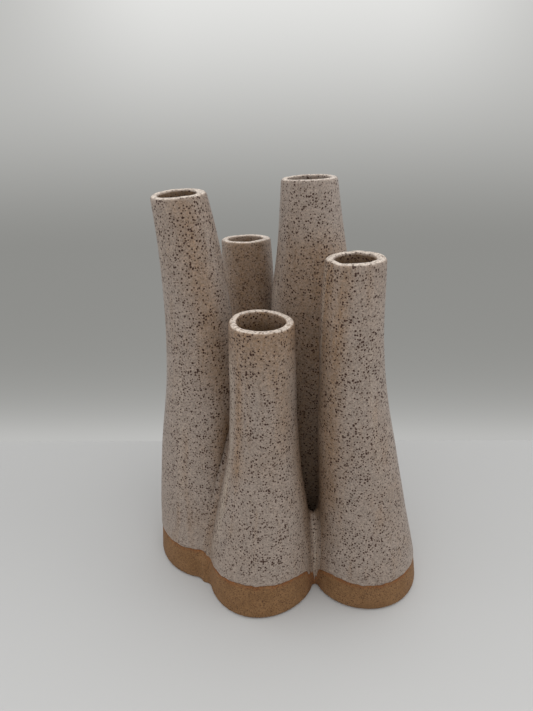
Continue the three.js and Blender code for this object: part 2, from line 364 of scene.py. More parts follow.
def pressed_radius(name, angle, height):
    """The outer radius of a bottle, flat where it is pressed against a neighbour."""
    bottle = BOTTLES[name]
    x, y = axis_point(bottle, height)
    total = wall_radius(bottle, angle, height) ** -float(PRESS_SHARPNESS)
    for point, normal in contact_faces(name):
        facing = np.cos(angle) * normal[0] + np.sin(angle) * normal[1]
        depth = (point[0] - x) * normal[0] + (point[1] - y) * normal[1] - PRESSED_GAP
        total = total + (np.maximum(0, facing) / depth) ** PRESS_SHARPNESS
    return total ** (-1 / PRESS_SHARPNESS)


def squeezed_distance(bottle, squeezed):
    """How far points with squeezed heights stand off a bottle's unpressed wall."""
    points = squeezed * STRETCHED
    x, y = axis_point(bottle, points[..., 2])
    across, back = points[..., 0] - x, points[..., 1] - y
    return np.hypot(across, back) - wall_radius(bottle, np.arctan2(back, across), points[..., 2])


def squeezed_normal(bottle, points):
    """The outward direction of a bottle's wall at points with squeezed heights."""
    parts = []
    for axis in range(3):
        offset = np.zeros(3)
        offset[axis] = PROBE
        parts.append(squeezed_distance(bottle, points + offset) - squeezed_distance(bottle, points - offset))
    return unit(np.stack(parts, -1))


def belly_gaps(x, y):
    """How far outside each bottle's belly places on the table are, and in which direction."""
    gaps, angles = {}, {}
    for name, bottle in BOTTLES.items():
        across, back = x - bottle["foot"][0], y - bottle["foot"][1]
        angles[name] = np.arctan2(back, across)
        wall = wall_radius(bottle, angles[name], BELLY_HEIGHT)
        gaps[name] = np.maximum(np.hypot(across, back) - wall, 0)
    return gaps, angles


def in_crease(joint, gaps):
    """How deep in a crease places are, from 0 to 1 where both bottles are near."""
    first, second = joint["between"]
    _, first_reach, second_reach = joint["sag"]
    return np.exp(-((gaps[second] / first_reach) ** SAG_POWER) - (gaps[first] / second_reach) ** SAG_POWER)


def glaze_line(x, y):
    """The height of the glaze's lower edge: each bottle has its own, and it sags where two of them meet."""
    gaps, angles = belly_gaps(x, y)
    total, weight = 0, 1e-6
    for name, bottle in BOTTLES.items():
        angle = angles[name]
        level, lean_x, lean_y = bottle["line"]
        line = level + lean_x * np.cos(angle) + lean_y * np.sin(angle)
        for size, turns in LINE_RIPPLES:
            line = line + size * np.sin(turns * angle + turns * level)
        for degrees, width, length in bottle["runs"]:
            line = line - length * hump(angle_gap(angle, degrees), width, 4)
        share = hump(gaps[name], LINE_BLEND)
        total = total + share * line
        weight = weight + share
    line = total / weight
    for joint in JOINTS.values():
        line = line - joint["sag"][0] * in_crease(joint, gaps)
    return line


def toasted(points):
    """How much the clay is toasted at points, by the creases near them."""
    gaps, _ = belly_gaps(points[..., 0], points[..., 1])
    return sum(joint["toast"] * in_crease(joint, gaps) ** TOAST_FADE for joint in JOINTS.values())


def glaze_relief(rise):
    """How far the glaze stands proud of the clay, by the height above its lower edge."""
    roll = np.clip(rise / GLAZE_ROLL, 0, 1)
    swell = 1 + GLAZE_SWELL * hump(rise - SWELL_HEIGHT, SWELL_WIDTH)
    return GLAZE_THICKNESS * np.sqrt(1 - (1 - roll) ** 2) * swell


def foot_inset(height):
    """How far the rounded lower edge draws in."""
    rise = np.clip(height / FOOT_EDGE_RADIUS, 0, 1)
    return FOOT_EDGE_RADIUS * (1 - np.sqrt(1 - (1 - rise) ** 2))


def ring(name, angles, height, inset):
    """Points round a bottle at one height or a height for each, inset from its outer wall."""
    bottle = BOTTLES[name]
    top = top_of(bottle)
    height = np.broadcast_to(np.asarray(height, float), angles.shape)
    centre_x, centre_y = axis_point(bottle, height)
    radius = pressed_radius(name, angles, height) - inset
    x, y = radius * np.cos(angles), radius * np.sin(angles)
    lip_x, lip_y = bottle["lip_drop"]
    drop = smooth(height, TILT_START * top, top) * (lip_x * x + lip_y * y)
    for size, turns, phase in bottle["rim"]:
        drop = drop + smooth(height, top - RIM_DEPTH, top) * size * np.sin(turns * angles + phase)
    for degrees, width, depth in bottle["nicks"]:
        across = hump(angle_gap(angles, degrees), width)
        drop = drop + smooth(height, top - NICK_DEPTH, top) * depth * across
    return np.stack([centre_x + x, centre_y + y, height - drop], -1)


def wall_at(name, angles, height):
    """The thickness of a bottle's wall, a little uneven towards its lip."""
    bottle = BOTTLES[name]
    share = height / top_of(bottle)
    thickness, uneven, thickest, _ = bottle["lip"]
    turn = angles - np.radians(thickest)
    uneven = 1 + share * uneven * (np.cos(turn) + 0.5 * np.sin(3 * turn))
    return (FOOT_WALL + (thickness - FOOT_WALL) * share) * uneven


def quarter(radius, rows=EDGE_ROWS):
    """Distances along and in from a wall round a quarter circle, from its upright to its level end."""
    turns = np.linspace(0, np.pi / 2, rows + 1)
    return [(radius * np.sin(turn), radius * (1 - np.cos(turn))) for turn in turns]


def line_heights(name, angles):
    """The glaze line's height round a bottle, from where its wall stands at that height."""
    line = np.full(angles.shape, float(BELLY_HEIGHT))
    for _ in range(LINE_ROUNDS):
        points = ring(name, angles, line, 0)
        line = glaze_line(points[:, 0], points[:, 1])
    return line


def rings(name, angles, steps):
    """Rings of points round a bottle, for pairs of height and inset."""
    return [ring(name, angles, height, inset) for height, inset in steps]


def liner_rows(name, angles, line):
    """The outside of the glaze that lines a bottle, from its floor up to the ledge in its wall."""
    corner = FLOOR_THICKNESS + FLOOR_CORNER_RADIUS
    wall = wall_at(name, angles, corner) - LINER_THICKNESS
    turn = reversed(quarter(FLOOR_CORNER_RADIUS))
    steps = [(corner - fall - LINER_THICKNESS, wall + inset) for fall, inset in turn]
    ledge = line - LEDGE_DROP
    return rings(name, angles, steps + [(ledge, wall_at(name, angles, ledge) - LINER_THICKNESS)])


def floor_middle(name, height):
    return np.array([*axis_point(BOTTLES[name], height), height])


def bare_steps(line):
    """Heights of the bare clay with their insets, from its rounded lower edge up to the glaze line."""
    edge = FOOT_EDGE_RADIUS
    steps = [(edge - rise, inset) for rise, inset in reversed(quarter(edge))]
    return steps + [(edge + (line - edge) * step / FOOT_ROWS, 0) for step in range(1, FOOT_ROWS + 1)]


def glazed_heights(line, hand):
    """Heights of the glaze from its line up to a level one, closest together at the line."""
    return [line + (hand - line) * (step / LINE_ROWS) ** 2 for step in range(LINE_ROWS + 1)]


def glazed_rows(name, angles, line):
    """The glazed outside from its lower edge to the lip, over it, and down the inside to the floor."""
    top = top_of(BOTTLES[name])
    lip_start = top - OUTER_LIP_RADIUS
    corner = FLOOR_THICKNESS + FLOOR_CORNER_RADIUS
    steps = [(height, -glaze_relief(height - line)) for height in glazed_heights(line, HAND_HEIGHT)]
    for step in range(1, WALL_ROWS):
        steps.append((HAND_HEIGHT + (lip_start - HAND_HEIGHT) * step / WALL_ROWS, -GLAZE_THICKNESS))
    steps += [(lip_start + rise, inset - GLAZE_THICKNESS) for rise, inset in quarter(OUTER_LIP_RADIUS)]
    lip_wall = wall_at(name, angles, top)
    for rise, inset in reversed(quarter(INNER_LIP_RADIUS)):
        steps.append((top - INNER_LIP_RADIUS + rise, lip_wall - inset))
    for step in range(1, INSIDE_ROWS):
        height = top - INNER_LIP_RADIUS + (corner - top + INNER_LIP_RADIUS) * step / INSIDE_ROWS
        steps.append((height, wall_at(name, angles, height)))
    corner_wall = wall_at(name, angles, corner)
    steps += [(corner - fall, corner_wall + inset) for fall, inset in quarter(FLOOR_CORNER_RADIUS)]
    return rings(name, angles, steps)


def loft_faces(rows, count):
    """Faces through rings of points, closed by a fan round a middle point at each end."""
    sides = [(side, (side + 1) % count) for side in range(count)]
    last = (rows - 1) * count
    faces = []
    for start in range(0, last, count):
        faces += [(start + a, start + b, start + b + count, start + a + count) for a, b in sides]
    for a, b in sides:
        faces += [(last + count, b, a), (last + a, last + b, last + count + 1)]
    return faces


def new_object(name, data):
    """An object in the scene for a mesh, a lamp or a camera."""
    made = bpy.data.objects.new(name, data)
    scene.collection.objects.link(made)
    return made


def smooth_object(name, points, faces, material):
    mesh = bpy.data.meshes.new(name)
    mesh.from_pydata(points, [], faces)
    mesh.shade_smooth()
    mesh.materials.append(material)
    return new_object(name, mesh)


def make_piece(name, points, faces, material, replaced, normals=None):
    """A smooth-shaded piece that rides on the vase and stands for its CAD node."""
    piece = smooth_object(name, (np.asarray(points) * MM).tolist(), faces, material)
    if normals is not None:
        piece.data.normals_split_custom_set_from_vertices(normals.tolist())
    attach(piece, "root")
    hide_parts(replaced)
    return piece


def paint(piece, attribute, values):
    """Keeps a number for each point of a piece, for its material to read."""
    made = piece.data.attributes.new(attribute, "FLOAT", "POINT")
    made.data.foreach_set("value", np.asarray(values, np.float32))


def streaks(places, angles, heights):
    """How strong a bottle's streaks are at each point of its rings."""
    strongest = np.zeros(heights.shape)
    for degrees, width, low, high, strength, slant in places:
        middle = degrees + slant * (heights - (low + high) / 2)
        across = hump(angle_gap(angles, middle), width)
        along = smooth(heights, *(low + STREAK_START)) * (1 - smooth(heights, *(high + STREAK_END)))
        strongest = np.maximum(strongest, strength * across * along)
    return strongest


def thin_glaze(name, angles, heights):
    """How thinly glazed a wall is: in streaks, towards the lip, and with painted shade where a neighbour
    hides it.
    """
    bottle = BOTTLES[name]
    top = top_of(bottle)
    browner = bottle["brown"] * smooth(heights, BROWN_START * top, top)
    thin = np.maximum(streaks(bottle["thin"], angles, heights), browner)
    for _, normal in contact_faces(name):
        towards = np.degrees(np.arctan2(normal[1], normal[0]))
        hidden = hump(angle_gap(angles, towards), HIDDEN_WIDTH, 4)
        # Painted shade and warm bounce where a neighbour hides the wall, as browner glaze
        thin = np.maximum(thin, HIDDEN_SHADE_AND_THIN * hidden * (1 - smooth(heights, *HIDDEN_FADE)))
    return thin


def ring_piece(name, part, rows, first_height, last_height, material):
    """A closed piece through rings round a bottle, with a middle point at each end."""
    middles = [floor_middle(name, height) for height in (first_height, last_height)]
    points = np.concatenate([*rows, middles])
    return make_piece(name + part, points, loft_faces(len(rows), SIDES), material, name)


def paint_rings(piece, painted):
    """Paints the rings of a piece, and its two middle points like the ends of the rings."""
    for attribute, values in painted.items():
        values = values.ravel()
        paint(piece, attribute, np.concatenate([values, values[:1], values[-1:]]))


def bottle_body(name, angles, line, liner, glaze):
    """A bottle's glazed body with its glazed inside, as a closed solid."""
    bottle = BOTTLES[name]
    rows = liner + glazed_rows(name, angles, line)
    liner_height = FLOOR_THICKNESS - LINER_THICKNESS
    body = ring_piece(name, "_glaze", rows, liner_height, FLOOR_THICKNESS, glaze)
    heights = np.array(rows)[..., 2]
    lip_row = len(liner) + LINE_ROWS + WALL_ROWS + EDGE_ROWS
    # Painted shade: the glaze gets darker and browner deeper inside the mouth
    inside = smooth(heights[lip_row] - heights, MOUTH_EDGE, bottle["lip"][3])
    inside[: lip_row + EDGE_ROWS] = 0
    outer = 1 - inside
    # The lip's crest, paler with painted top light
    lit_crest = hump(np.arange(len(rows)) - lip_row - 0.5, LIT_CREST_ROWS)
    paint_rings(body, {
        "thin": thin_glaze(name, angles[None, :], heights) * outer,
        # Pooled glaze, and painted highlights along the left edges
        "pool_and_highlight": streaks(bottle["thick_and_highlit"], angles[None, :], heights) * outer,
        "inside": inside,
        "lip": lit_crest[:, None] * np.ones(SIDES),
        "rise": np.clip(heights - line[None, :], 0, HIGHEST_RISE) * bottle["speckled"],
    })


def bottle_foot(name, angles, line, liner, clay):
    """A bottle's bare foot under its glaze, as a closed solid."""
    rows = rings(name, angles, bare_steps(line)) + liner[::-1]
    foot = ring_piece(name, "_foot", rows, 0, FLOOR_THICKNESS - LINER_THICKNESS, clay)
    below = np.array([line - row[:, 2] for row in rows])
    paint_rings(foot, {"below": below, "crease": toasted(np.concatenate(rows))})


def bottle_pieces(name, glaze, clay):
    angles = np.linspace(0, 2 * np.pi, SIDES, endpoint=False)
    line = line_heights(name, angles)
    liner = liner_rows(name, angles, line)
    bottle_body(name, angles, line, liner, glaze)
    bottle_foot(name, angles, line, liner, clay)


def crease_guess(first, second, joint, height, side):
    """Where a ball of the crease's radius rests between two round walls: the ball's middle at one height."""
    radius = np.interp(height, *np.array(joint["hollow"], float).T)
    ax, ay = axis_point(first, height)
    bx, by = axis_point(second, height)
    apart = np.hypot(bx - ax, by - ay)
    first_reach = outline_radius(first, height) + radius
    second_reach = outline_radius(second, height) + radius
    along = (apart**2 + first_reach**2 - second_reach**2) / (2 * apart)
    half = first_reach**2 - along**2
    across_x, across_y = (bx - ax) / apart, (by - ay) / apart
    swing = side * np.sqrt(np.maximum(half, 0))
    x = ax + across_x * along - across_y * swing
    y = ay + across_y * along + across_x * swing
    return np.stack([x, y, height * np.ones_like(x)], -1), half, radius


def crease_loop(first, second, joint):
    """The path of the crease's ball and its radius: up the outer side, over the saddle and down inside."""
    heights = np.linspace(0, HIGHEST_SADDLE, SADDLE_SAMPLES)
    _, half, _ = crease_guess(first, second, joint, heights, 1)
    top = heights[np.argmax(half < 0)]

    def guess(turns):
        return crease_guess(first, second, joint, top - (top + BELOW_TABLE) * turns**2, np.sign(turns))

    turns = np.linspace(-1, 1, LOOP_SAMPLES)
    path, _, _ = guess(turns)
    lengths = np.linalg.norm(np.diff(path / STRETCHED, axis=0), axis=1)
    lengths = np.concatenate([[0], np.cumsum(lengths)])
    count = int(lengths[-1] / CREASE_STEP) + 1
    path, _, radius = guess(np.interp(np.linspace(0, lengths[-1], count), lengths, turns))
    path = path / STRETCHED
    tangent = np.gradient(path, axis=0)
    across = np.append(contact_face(first, second)[1], 0)
    outward = unit(np.cross(tangent, across))
    middle = np.array([*contact_face(first, second)[0], top / 2]) / STRETCHED
    if ((path - middle) * outward).sum() < 0:
        outward = -outward
    for _ in range(ROLL_STEPS):
        misses, slopes = [], []
        for bottle in (first, second):
            normal = squeezed_normal(bottle, path)
            misses.append(squeezed_distance(bottle, path) - radius)
            slopes.append([normal @ across, (normal * outward).sum(1)])
        (a, b), (c, d) = slopes
        scale = a * d - b * c
        path = path - np.outer((misses[0] * d - misses[1] * b) / scale, across)
        path = path - ((misses[1] * a - misses[0] * c) / scale)[:, None] * outward
    if np.hypot(*path[0, :2]) < np.hypot(*path[-1, :2]):
        path, radius = path[::-1], radius[::-1]
    return path, radius, top


def crease_surface(first, second, joint):
    """The hollow between two bottles as rows along the crease and columns across it, with its outward
    directions, the columns' shares of its width, the ball's path and the height of its saddle."""
    path, radius, top = crease_loop(first, second, joint)
    to_first, to_second = squeezed_normal(first, path), squeezed_normal(second, path)
    turn = np.arccos(np.clip((to_first * to_second).sum(1), -1, 1))[:, None]
    shares = np.linspace(0, 1, CREASE_COLUMNS)
    rows, outs = [], []
    for share in shares:
        out = (np.sin((1 - share) * turn) * to_first + np.sin(share * turn) * to_second) / np.sin(turn)
        rows.append(path - radius[:, None] * out)
        outs.append(out)
    surface, out = np.stack(rows, 1), np.stack(outs, 1)
    first_miss = squeezed_distance(first, surface[:, 0])[:, None, None]
    second_miss = squeezed_distance(second, surface[:, -1])[:, None, None]
    share = shares[None, :, None]
    surface = (surface - out * (first_miss * (1 - share) + second_miss * share)) * STRETCHED
    out = unit(out / STRETCHED)
    middle, width, size, highest = joint["smear"]
    lift = size * hump(shares - middle, width) * (1 - smooth(surface[..., 2], 0, highest))
    return surface + out * lift[..., None], out, shares, path * STRETCHED, top


def column_curve(surface, out, index, stop, heights):
    """Points and outward directions of one column at given heights, on its rising part before a row."""
    levels = np.maximum.accumulate(surface[: stop + 1, index, 2])
    both = np.concatenate([surface[: stop + 1, index, :2], out[: stop + 1, index]], axis=1)
    found = np.stack([np.interp(heights, levels, both[:, part]) for part in range(both.shape[1])], -1)
    return np.concatenate([found[:, :2], np.asarray(heights)[:, None]], 1), found[:, 2:]


def side_rows(surface, out, shares, joint, hand_row, dripping):
    """The lower part of one side of a crease, as bare rows up to the glaze line and glazed rows from it."""
    bare, glazed, bare_out, glazed_out, lines = [], [], [], [], []
    for index, share in enumerate(shares):
        line = float(BELLY_HEIGHT)
        for _ in range(LINE_ROUNDS):
            point, _ = column_curve(surface, out, index, hand_row, [line])
            line = float(glaze_line(point[:, 0], point[:, 1])[0])
            if dripping:
                for middle, width, length in joint["drips"]:
                    line -= length * hump(share - middle, width, 4)
        heights = [height for height, _ in bare_steps(line)]
        points, outs = column_curve(surface, out, index, hand_row, heights)
        level = unit(outs * [1, 1, 0])
        inset = foot_inset(points[:, 2]) * (1 - CREASE_FILL * 4 * share * (1 - share))
        bare.append(points - level * inset[:, None])
        bare_out.append(outs)
        heights = glazed_heights(line, surface[hand_row, index, 2])
        points, outs = column_curve(surface, out, index, hand_row, heights)
        glazed.append(points + outs * glaze_relief(points[:, 2] - line)[:, None])
        glazed_out.append(outs)
        lines.append(line)
    return [np.stack(part, 1) for part in (bare, bare_out, glazed, glazed_out)] + [np.array(lines)]


def widened(grid):
    """A grid with each of its two edge columns twice more."""
    return np.concatenate([grid[:, :1]] * 2 + [grid] + [grid[:, -1:]] * 2, 1)


def sink_edges(surface, out):
    """Adds two columns beyond each edge that dip into the wall."""
    columns = [surface]
    for edge, near in ((0, 1), (-1, -2)):
        away = unit(surface[:, edge] - surface[:, near])
        pair = []
        for beyond, deep in SUNK_COLUMNS:
            sunk = surface[:, edge] + away * beyond - out[:, edge] * deep
            sunk[:, 2] = np.maximum(sunk[:, 2], 0)
            pair.append(sunk[:, None])
        columns = pair[::-1] + columns if edge == 0 else columns + pair
    return np.concatenate(columns, 1), widened(out)


def grid_normals(surface, out):
    """The directions across a grid of points, turned outward."""
    normal = np.cross(np.gradient(surface, axis=0), np.gradient(surface, axis=1))
    normal /= np.maximum(np.linalg.norm(normal, axis=2, keepdims=True), 1e-9)
    return normal * np.sign((normal * out).sum(2, keepdims=True))


def slab(surface, normals, out, depth):
    """A closed solid under a grid of points: its points, faces and point directions."""
    rows, columns = surface.shape[:2]
    back = surface - out * depth
    points = np.concatenate([surface.reshape(-1, 3), back.reshape(-1, 3)])
    count = rows * columns
    faces = []
    for row in range(rows - 1):
        for column in range(columns - 1):
            a = row * columns + column
            quad = (a, a + 1, a + 1 + columns, a + columns)
            faces += [quad, tuple(count + index for index in reversed(quad))]
    grid = np.arange(count).reshape(rows, columns)
    rim = np.concatenate([grid[0], grid[1:, -1], grid[-1, -2::-1], grid[-2:0:-1, 0]]).tolist()
    for here, following in zip(rim, rim[1:] + rim[:1]):
        faces.append((following, here, here + count, following + count))
    a, b, c = (points[index] for index in faces[0][:3])
    if np.cross(b - a, c - a) @ out[0, 0] < 0:
        faces = [tuple(reversed(face)) for face in faces]
    return points, faces, np.concatenate([normals.reshape(-1, 3), -normals.reshape(-1, 3)])


def crease_parts(name):
    """A crease as its low parts on the outer and the inner side, the rows between them with their outward
    directions, the columns' shares and the height of its saddle."""
    joint = JOINTS[name]
    first, second = (BOTTLES[bottle] for bottle in joint["between"])
    surface, out, shares, path, top = crease_surface(first, second, joint)
    hand = min(LOW_PART, LOW_SHARE * top)
    peak = int(np.argmax(path[:, 2]))
    low_row = int(np.argmax(path[: peak + 1, 2] > hand))
    high_row = len(path) - 1 - int(np.argmax(path[::-1][: len(path) - peak, 2] > hand))
    near = side_rows(surface, out, shares, joint, low_row, True)
    far = side_rows(surface[::-1], out[::-1], shares, joint, len(path) - 1 - high_row, False)
    middle = slice(low_row + 1, high_row)
    return near, (surface[middle], out[middle]), far, shares, top


def crease_depth(shares):
    """How deep a crease's solids go under each column."""
    return widened((EDGE_DEPTH + MIDDLE_DEPTH * (4 * shares * (1 - shares)))[None, :, None])


def joint_body(name, near, middle, far, shares, top, glaze):
    """The glazed hollow of a luted crease with its bead, as a closed solid."""
    joint = JOINTS[name]
    surface, out = middle
    glazed = np.concatenate([near[2], surface + out * GLAZE_THICKNESS, far[2][::-1]])
    glazed_out = np.concatenate([near[3], out, far[3][::-1]])
    proud, width, reach = joint["bead"]
    ridge = BEAD_PLACE - BEAD_SHIFT * smooth(glazed[..., 2], *(reach + BEAD_TURN))
    across = hump(shares - ridge, width)
    along = 1 - smooth(glazed[..., 2], *(reach + BEAD_END))
    along[len(near[2]) + len(surface) // 2 :] *= INNER_BEAD
    glazed = glazed + glazed_out * (proud * across * along)[..., None]
    pool_and_highlight = across * (1 - smooth(glazed[..., 2], *(reach + POOL_END)))
    whole, whole_out = sink_edges(glazed, glazed_out)
    normals = widened(grid_normals(glazed, glazed_out))
    points, faces, directions = slab(whole, normals, whole_out, crease_depth(shares))
    body = make_piece(name + "_glaze", points, faces, glaze, name, directions)
    parts = ((near[4], near[2]), (BELLY_HEIGHT, surface), (far[4], far[2]))
    lines = np.concatenate([np.ones((len(rows), len(shares))) * line for line, rows in parts])
    rise = np.clip(glazed[..., 2] - lines, 0, HIGHEST_RISE)
    pool_and_highlight = pool_and_highlight * min(1, proud)
    # Painted shade: the crease's glaze turns darker and browner towards its saddle and beside its bead
    inside = joint["dark"] * smooth(glazed[..., 2], top - SADDLE_SHADE_START, top - SADDLE_SHADE_END)
    inside = np.maximum(inside, CREASE_SHADE * 4 * shares * (1 - shares) * (1 - pool_and_highlight))
    for attribute, values in (("pool_and_highlight", pool_and_highlight), ("rise", rise), ("inside", inside)):
        paint(body, attribute, np.tile(widened(values).ravel(), 2))


def joint_foot(name, near, far, shares, clay):
    """The bare clay under a luted crease's glaze, as a closed solid on each side of the ring."""
    points, faces, directions, below, crease = [], [], [], [], []
    for bare, bare_out, _, _, line in (near, far):
        whole, whole_out = sink_edges(bare, bare_out)
        normals = widened(grid_normals(bare, bare_out))
        part = slab(whole, normals, whole_out * [1, 1, 0], crease_depth(shares))
        start = sum(len(earlier) for earlier in points)
        points.append(part[0])
        faces += [tuple(start + index for index in face) for face in part[1]]
        directions.append(part[2])
        below += [widened(line[None, :] - bare[..., 2]).ravel()] * 2
        crease += [toasted(whole).ravel()] * 2
    directions = np.concatenate(directions)
    foot = make_piece(name + "_foot", np.concatenate(points), faces, clay, name, directions)
    paint(foot, "below", np.concatenate(below))
    paint(foot, "crease", np.concatenate(crease))


def joint_pieces(name, glaze, clay):
    near, middle, far, shares, top = crease_parts(name)
    joint_body(name, near, middle, far, shares, top, glaze)
    joint_foot(name, near, far, shares, clay)


def linear(colour):
    """An sRGB colour of 0 to 255 as the linear colour that a shader takes."""
    share = np.array(colour) / 255
    return (*np.where(share <= 0.04045, share / 12.92, ((share + 0.055) / 1.055) ** 2.4), 1)


class Graph:
    """Adds nodes to a material or world and links what is passed as a socket."""

    def __init__(self, tree):
        self.tree = tree

    def add(self, kind, inputs=None, **settings):
        made = self.tree.nodes.new("ShaderNode" + kind)
        for key, value in settings.items():
            setattr(made, key, value)
        for key, value in (inputs or {}).items():
            self.join(value, made.inputs[key])
        return made

    def join(self, value, socket):
        if isinstance(value, bpy.types.NodeSocket):
            self.tree.links.new(value, socket)
        else:
            socket.default_value = value

    def math(self, operation, a, b=0.0, clamp=False):
        return self.add("Math", {0: a, 1: b}, operation=operation, use_clamp=clamp).outputs[0]

    def times(self, a, b, clamp=False):
        return self.math("MULTIPLY", a, b, clamp)

    def plus(self, a, b, clamp=False):
        return self.math("ADD", a, b, clamp)

    def mix(self, share, a, b, blend="MIX"):
        made = self.add("Mix", {0: share, 6: a, 7: b}, data_type="RGBA", blend_type=blend)
        return made.outputs[2]

    def tint(self, colour, share, strength, shade):
        """Mixes an sRGB shade into a colour, by a share of a strength."""
        return self.mix(self.times(share, strength), colour, linear(shade))

    def grade(self, colour, level):
        """Multiplies a colour by a level."""
        grey = self.add("CombineColor", {0: level, 1: level, 2: level}).outputs[0]
        return self.mix(1.0, colour, grey, "MULTIPLY")

    def ramp(self, value, low, high, to_low=0.0, to_high=1.0, even=True):
        kind = "SMOOTHSTEP" if even else "LINEAR"
        inputs = {"Value": value, "From Min": low, "From Max": high, "To Min": to_low, "To Max": to_high}
        return self.add("MapRange", inputs, interpolation_type=kind).outputs[0]

    def noise(self, place, size, detail=2.0, rough=0.5):
        inputs = {"Vector": place, "Scale": 1 / size, "Detail": detail, "Roughness": rough}
        return self.add("TexNoise", inputs).outputs[0]

    def attribute(self, name):
        return self.add("Attribute", attribute_name=name).outputs["Fac"]

    def finish(self, shader, kind="OutputMaterial"):
        self.join(shader, self.add(kind).inputs[0])

    def specks(self, place, spacing, smallest, largest, kept, crowd):
        """Round specks of random size, in millimetres, smaller where crowd is low."""
        cells = self.add("TexVoronoi", {"Vector": place, "Scale": 1 / spacing})
        parts = self.add("SeparateColor", {0: cells.outputs["Color"]})
        distance = self.times(cells.outputs["Distance"], spacing)
        radius = self.ramp(parts.outputs[0], 0, 1, smallest, largest, even=False)
        radius = self.times(radius, self.ramp(crowd, 0.3, 0.7, 0.85, 1.12))
        gap = self.math("SUBTRACT", distance, radius)
        spot = self.ramp(gap, -0.07, 0.05, 1.0, 0.0)
        halo = self.ramp(gap, -0.05, 0.35, 1.0, 0.0)
        chance = self.math("LESS_THAN", parts.outputs[1], kept)
        return self.times(spot, chance), self.times(halo, chance)


def new_material(name):
    material = bpy.data.materials.new(name)
    material.use_nodes = True
    material.node_tree.nodes.clear()
    return material, Graph(material.node_tree)


def millimetres(graph):
    """The place on the object in millimetres, roughened a little so that specks aren't perfect rounds."""
    place = graph.add("TexCoord").outputs["Object"]
    place = graph.add("VectorMath", {0: place, "Scale": 1 / MM}, operation="SCALE").outputs[0]
    stir = graph.add("TexNoise", {"Vector": place, "Scale": 1.4, "Detail": 1.0}).outputs["Color"]
    stir = graph.add("VectorMath", {0: stir, 1: (0.5, 0.5, 0.5)}, operation="SUBTRACT").outputs[0]
    stir = graph.add("VectorMath", {0: stir, "Scale": 0.3}, operation="SCALE").outputs[0]
    return place, graph.add("VectorMath", {0: place, 1: stir}).outputs[0]


def finish_surface(graph, colour, roughness, height, bump, shine):
    inputs = {"Base Color": colour, "Roughness": roughness, "Specular IOR Level": shine}
    shader = graph.add("BsdfPrincipled", inputs)
    lift = graph.add("Bump", {"Height": height, "Distance": MM, "Strength": bump})
    graph.join(lift.outputs[0], shader.inputs["Normal"])
    graph.finish(shader.outputs[0])


def glaze_material():
    """Satin off-white glaze: iron specks, a fine grey mottle, browner where thinner, painted shade and
    highlights.
    """
    material, graph = new_material("speckled_glaze")
    place, stirred = millimetres(graph)
    inside, lip = graph.attribute("inside"), graph.attribute("lip")
    crowd = graph.noise(place, 9, 1.0)
    big, halo = graph.specks(stirred, 1.32, 0.24, 0.62, 0.72, crowd)
    small, _ = graph.specks(stirred, 0.85, 0.14, 0.3, 0.75, crowd)
    covered = graph.ramp(graph.attribute("rise"), 1, 12, 0.4, 1.0)
    covered = graph.math("SUBTRACT", covered, graph.times(lip, 0.55))
    covered = graph.plus(covered, inside, clamp=True)
    big = graph.times(big, covered)
    small = graph.times(small, covered)

    tall = graph.add("Mapping", {"Vector": place, "Scale": (1, 1, 0.12)}).outputs[0]
    streak = graph.noise(tall, 7, 3.0, 0.6)
    cloud = graph.noise(place, 26, 2.0)
    thin = graph.plus(graph.attribute("thin"), graph.ramp(streak, 0.5, 0.78, 0, 0.35))
    thin = graph.plus(thin, graph.ramp(cloud, 0.45, 0.75, 0, 0.15))
    # Painted shade inside the mouths and towards a crease's saddle also turns the glaze browner
    thin = graph.plus(thin, graph.times(inside, 0.95), clamp=True)
    patches = graph.ramp(graph.noise(place, 1.6, 2.0), 0.3, 0.7, 0.7, 1.15)
    thin = graph.times(thin, patches, clamp=True)

    colour = graph.mix(thin, linear(GLAZE), linear(THIN_AND_SHADED_GLAZE))
    brushed = graph.add("Mapping", {"Vector": place, "Scale": (1, 1, 0.05)}).outputs[0]
    ridges = graph.ramp(graph.noise(brushed, 0.9, 2.0), 0.35, 0.65, 0.4, 1.0)
    # Paler where the glaze pools, and painted highlights along the left edges
    pool_and_highlight = graph.times(graph.attribute("pool_and_highlight"), ridges)
    colour = graph.mix(pool_and_highlight, colour, linear(POOLED_GLAZE_AND_HIGHLIGHT))
    # The lip's crest: pale glaze breaks with painted top light
    breaks = graph.ramp(graph.noise(place, 2.4, 2.0), 0.3, 0.48, 0.25, 1.0)
    lit_crest = graph.times(graph.ramp(lip, 0.3, 0.8), breaks)
    colour = graph.mix(lit_crest, colour, linear(LIT_LIP_CREST))
    mottle = graph.ramp(graph.noise(place, 1.05, 3.0, 0.65), 0.32, 0.68, 0.7, 1.31, even=False)
    # Painted shade: the mottle darkens deeper inside the mouths and towards a crease's saddle
    mottle = graph.times(mottle, graph.ramp(inside, 0, 1, 1.0, 0.62))
    mottle = graph.times(mottle, graph.ramp(graph.noise(place, 5, 2.0), 0.3, 0.7, 0.95, 1.05))
    colour = graph.grade(colour, mottle)
    colour = graph.tint(colour, halo, 0.22, SPECK_HALO)
    colour = graph.tint(colour, small, 0.65, SMALL_SPECK)
    colour = graph.tint(colour, big, 0.98, BIG_SPECK)

    roughness = graph.ramp(cloud, 0.3, 0.7, 0.4, 0.5)
    roughness = graph.plus(roughness, graph.times(thin, 0.08))
    roughness = graph.plus(roughness, graph.times(big, 0.15))
    height = graph.times(graph.noise(place, 3.2, 2.0), 0.07)
    height = graph.plus(height, graph.times(streak, 0.12))
    height = graph.math("SUBTRACT", height, graph.times(big, 0.05))
    finish_surface(graph, colour, roughness, height, 0.7, 0.3)
    return material


